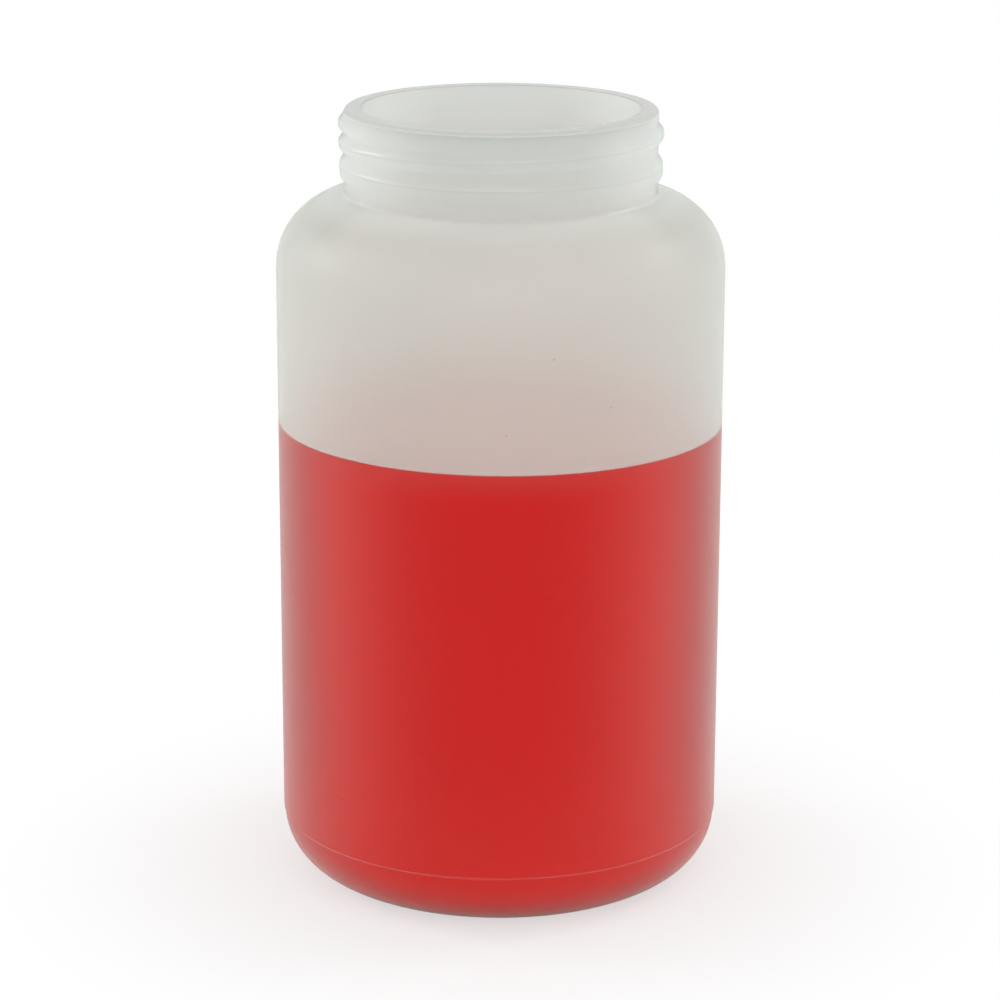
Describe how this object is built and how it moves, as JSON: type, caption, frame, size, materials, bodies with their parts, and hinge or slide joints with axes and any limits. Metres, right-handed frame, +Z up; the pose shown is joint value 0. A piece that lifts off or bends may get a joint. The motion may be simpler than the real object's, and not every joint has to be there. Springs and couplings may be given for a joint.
{
  "type": "wide-mouth jar",
  "caption": "Round wide-mouth jar in natural translucent plastic with a threaded neck and a bead under the thread, standing open and part-filled with red liquid.",
  "frame": {"origin": "centre of the circle that the jar stands on", "axes": "+Z up along the jar's axis, -Y towards the viewer of the picture, +X to the right"},
  "size_m": [0.0962, 0.0962, 0.1694],
  "materials": {
    "natural_plastic": "translucent satin, faint flow marks from blow moulding",
    "red_liquid": "clear red liquid with a still surface"
  },
  "bodies": {
    "root": {"jar_body": "natural_plastic", "red_liquid": "red_liquid"}
  },
  "joints": []
}
